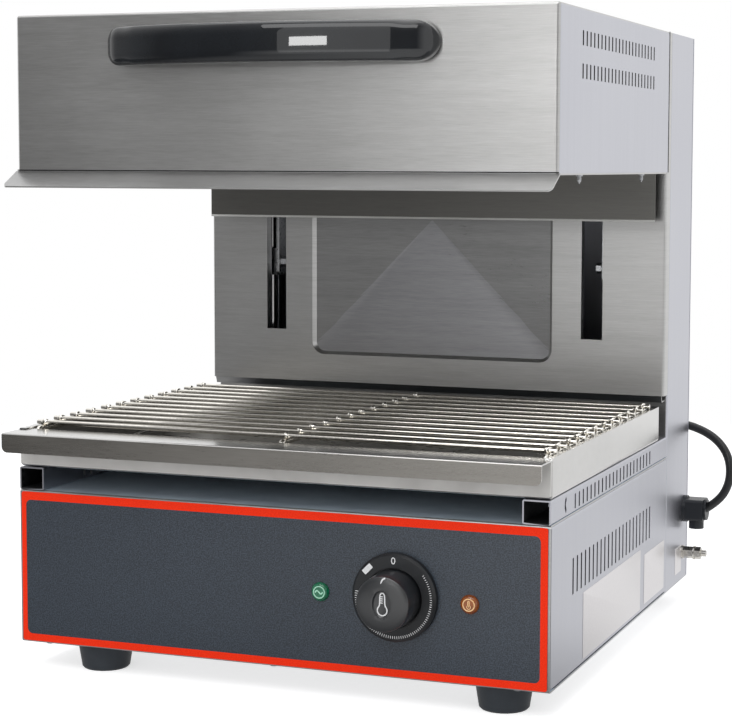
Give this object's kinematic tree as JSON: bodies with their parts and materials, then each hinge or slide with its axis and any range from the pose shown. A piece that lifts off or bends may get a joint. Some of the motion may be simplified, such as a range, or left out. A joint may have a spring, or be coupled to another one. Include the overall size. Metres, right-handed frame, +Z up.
{
  "type": "salamander grill",
  "caption": "Countertop salamander grill with a heating hood that slides on a rear tower, a wire grid over a pull-out drip tray, and a base with a rotary thermostat.",
  "frame": {"origin": "on the table under the middle of the appliance's outline, its cord left out", "axes": "+Z up, +Y from the user towards the tower, +X to the user's right"},
  "size_m": [0.4996, 0.6723, 0.53],
  "materials": {
    "casing_steel": "fine vertical grain, satin",
    "side_steel": "fine grain, satin",
    "tray_steel": "near mirror",
    "wire_steel": "bright plated",
    "zinc_steel": "zinc plated",
    "rod_steel": "ground and polished",
    "spring_steel": "oiled",
    "element_steel": "heat tinted",
    "reflector_steel": "bright rolled",
    "overlay_film": "finely speckled",
    "rubber_black": "matt",
    "plastic_black": "glossy",
    "plastic_satin": "satin",
    "lens_green": "translucent",
    "lens_amber": "translucent",
    "ceramic_white": "unglazed",
    "terminal_plastic": "moulded",
    "gland_plastic": "moulded",
    "bond_brass": "plain",
    "bushing_bronze": "sintered",
    "cord_rubber": "matt",
    "pin_metal": "nickel plated",
    "tie_plastic": "flat strap"
  },
  "bodies": {
    "base": {"base_cover": "casing_steel", "base_side_left": "side_steel", "base_side_right": "side_steel", "base_bottom_plate": "zinc_steel", "front_overlay": "overlay_film", "foot_front_left": "rubber_black", "foot_front_right": "rubber_black", "foot_rear_left": "rubber_black", "foot_rear_right": "rubber_black", "foot_bolts": "zinc_steel", "channel_left": "side_steel", "channel_right": "side_steel", "tower_side_left": "side_steel", "tower_side_right": "side_steel", "tower_cover": "casing_steel", "tower_lower_panel": "casing_steel", "tower_back_panel": "side_steel", "tower_top_cap": "casing_steel", "guide_rods": "rod_steel", "rod_bracket_lower": "zinc_steel", "rod_bracket_upper": "zinc_steel", "lift_spring_left": "spring_steel", "lift_spring_right": "spring_steel", "thermostat_body": "zinc_steel", "dial_ring": "plastic_satin", "green_lamp": "lens_green", "amber_lamp": "lens_amber", "lamp_bodies": "plastic_satin", "terminal_block": "terminal_plastic", "bonding_stud": "bond_brass", "bonding_nuts": "bond_brass", "cable_gland": "gland_plastic", "power_cord": "cord_rubber", "cord_coil": "cord_rubber", "cord_tie": "tie_plastic", "power_plug": "cord_rubber", "plug_pins": "pin_metal"},
    "hood": {"hood_shell": "casing_steel", "hood_floor": "casing_steel", "hood_back_plate": "casing_steel", "hood_reflector": "reflector_steel", "heating_element_front": "element_steel", "heating_element_rear": "element_steel", "element_hangers": "reflector_steel", "element_insulators": "ceramic_white", "thermostat_bulb": "wire_steel", "bulb_clips": "zinc_steel", "hood_arm_left": "zinc_steel", "hood_arm_right": "zinc_steel", "guide_blocks_left": "zinc_steel", "guide_blocks_right": "zinc_steel", "guide_bushings": "bushing_bronze", "block_bolts": "zinc_steel", "hood_handle": "plastic_black", "handle_screws": "zinc_steel"},
    "tray": {"tray_pan": "tray_steel"},
    "grid": {"grid_wires": "wire_steel", "grid_supports": "wire_steel"},
    "knob": {"thermostat_knob": "plastic_black", "thermostat_spindle": "zinc_steel"}
  },
  "joints": [
    {"name": "hood_slide", "type": "slide", "parent": "base", "child": "hood", "axis": [0, 0, 1], "range_m": [-0.15, 0], "deforming": ["lift_spring_left", "lift_spring_right"]},
    {"name": "tray_slide", "type": "slide", "parent": "base", "child": "tray", "axis": [0, -1, 0], "range_m": [0, 0.3]},
    {"name": "grid_lift", "type": "slide", "parent": "tray", "child": "grid", "axis": [0, 0, 1], "range_m": [0, 0.04]},
    {"name": "thermostat_turn", "type": "hinge", "parent": "base", "child": "knob", "pos_m": [0.0937, -0.2305, 0.0858], "axis": [0, 1, 0], "range_deg": [0, 280]}
  ]
}
